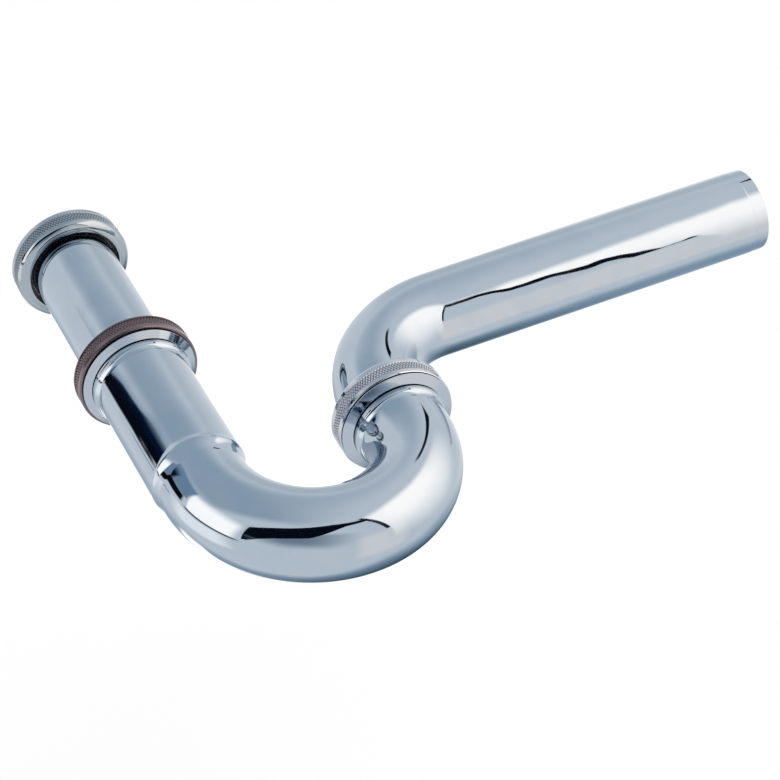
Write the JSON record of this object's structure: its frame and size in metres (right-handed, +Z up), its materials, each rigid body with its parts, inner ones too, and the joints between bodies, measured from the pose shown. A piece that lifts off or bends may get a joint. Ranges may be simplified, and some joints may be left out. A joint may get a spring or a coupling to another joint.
{
  "type": "basin trap",
  "caption": "Chromed tubular basin trap: sliding dip tube, U bend holding the water seal, knurled union nuts and a swivelling elbow with a long outlet tail.",
  "frame": {"origin": "middle of the inlet nut's thread, on the dip tube's axis, where the basin waste screws in", "axes": "+Z up the dip tube towards the basin, +X along the outlet tail towards the wall, +Y to the left of the tail seen from the basin"},
  "size_m": [0.27, 0.0524, 0.1953],
  "materials": {
    "chrome": "polished chrome plate on brass tube",
    "nut_chrome": "chrome plate over a diamond knurl",
    "collar_chrome": "polished chrome plate on turned brass",
    "brass": "plain turned brass",
    "black_rubber": "moulded black rubber",
    "nylon": "natural white nylon"
  },
  "bodies": {
    "dip": {"dip_tube": "chrome", "inlet_washer_ring": "black_rubber"},
    "inlet_ring": {"inlet_slip_ring": "brass"},
    "inlet_union": {"inlet_nut": "nut_chrome"},
    "seal": {"slip_seal": "black_rubber"},
    "bend": {"trap_bend": "chrome", "inlet_collar": "collar_chrome", "outlet_collar": "collar_chrome", "outlet_washer_ring": "black_rubber"},
    "slip_ring": {"slip_friction_ring": "nylon"},
    "slip_union": {"slip_nut": "nut_chrome"},
    "outlet_ring": {"outlet_slip_ring": "brass"},
    "outlet_union": {"outlet_nut": "nut_chrome"},
    "elbow": {"outlet_elbow": "chrome"}
  },
  "joints": [
    {"name": "height", "type": "slide", "parent": "dip", "child": "seal", "axis": [0, 0, 1], "range_m": [-0.022, 0.022]},
    {"name": "bend_swivel", "type": "hinge", "parent": "seal", "child": "bend", "pos_m": [0, 0, -0.07275], "axis": [0, 0, 1], "continuous": true},
    {"name": "slip_nut_rise", "type": "slide", "parent": "bend", "child": "slip_ring", "axis": [0, 0, 1], "range_m": [0, 0.00462]},
    {"name": "slip_nut_turn", "type": "hinge", "parent": "slip_ring", "child": "slip_union", "pos_m": [0, 0, -0.07275], "axis": [0, 0, 1], "range_deg": [0, 720]},
    {"name": "outlet_nut_rise", "type": "slide", "parent": "bend", "child": "outlet_ring", "axis": [0, 0, 1], "range_m": [0, 0.00375]},
    {"name": "outlet_nut_turn", "type": "hinge", "parent": "outlet_ring", "child": "outlet_union", "pos_m": [0.07577, 0.0081, -0.12675], "axis": [0, 0, 1], "range_deg": [0, 900]},
    {"name": "elbow_swivel", "type": "hinge", "parent": "bend", "child": "elbow", "pos_m": [0.07577, 0.0081, -0.1211], "axis": [0, 0, 1], "range_deg": [-138, 150]},
    {"name": "inlet_nut_slide", "type": "slide", "parent": "dip", "child": "inlet_ring", "axis": [0, 0, 1], "range_m": [-0.03, 0]},
    {"name": "inlet_nut_turn", "type": "hinge", "parent": "inlet_ring", "child": "inlet_union", "pos_m": [0, 0, 0], "axis": [0, 0, 1], "continuous": true}
  ],
  "couplings": [
    {"joint": "slip_nut_rise", "follows": "slip_nut_turn", "m_per_rad": 0.00036749},
    {"joint": "outlet_nut_rise", "follows": "outlet_nut_turn", "m_per_rad": 0.00023873}
  ]
}
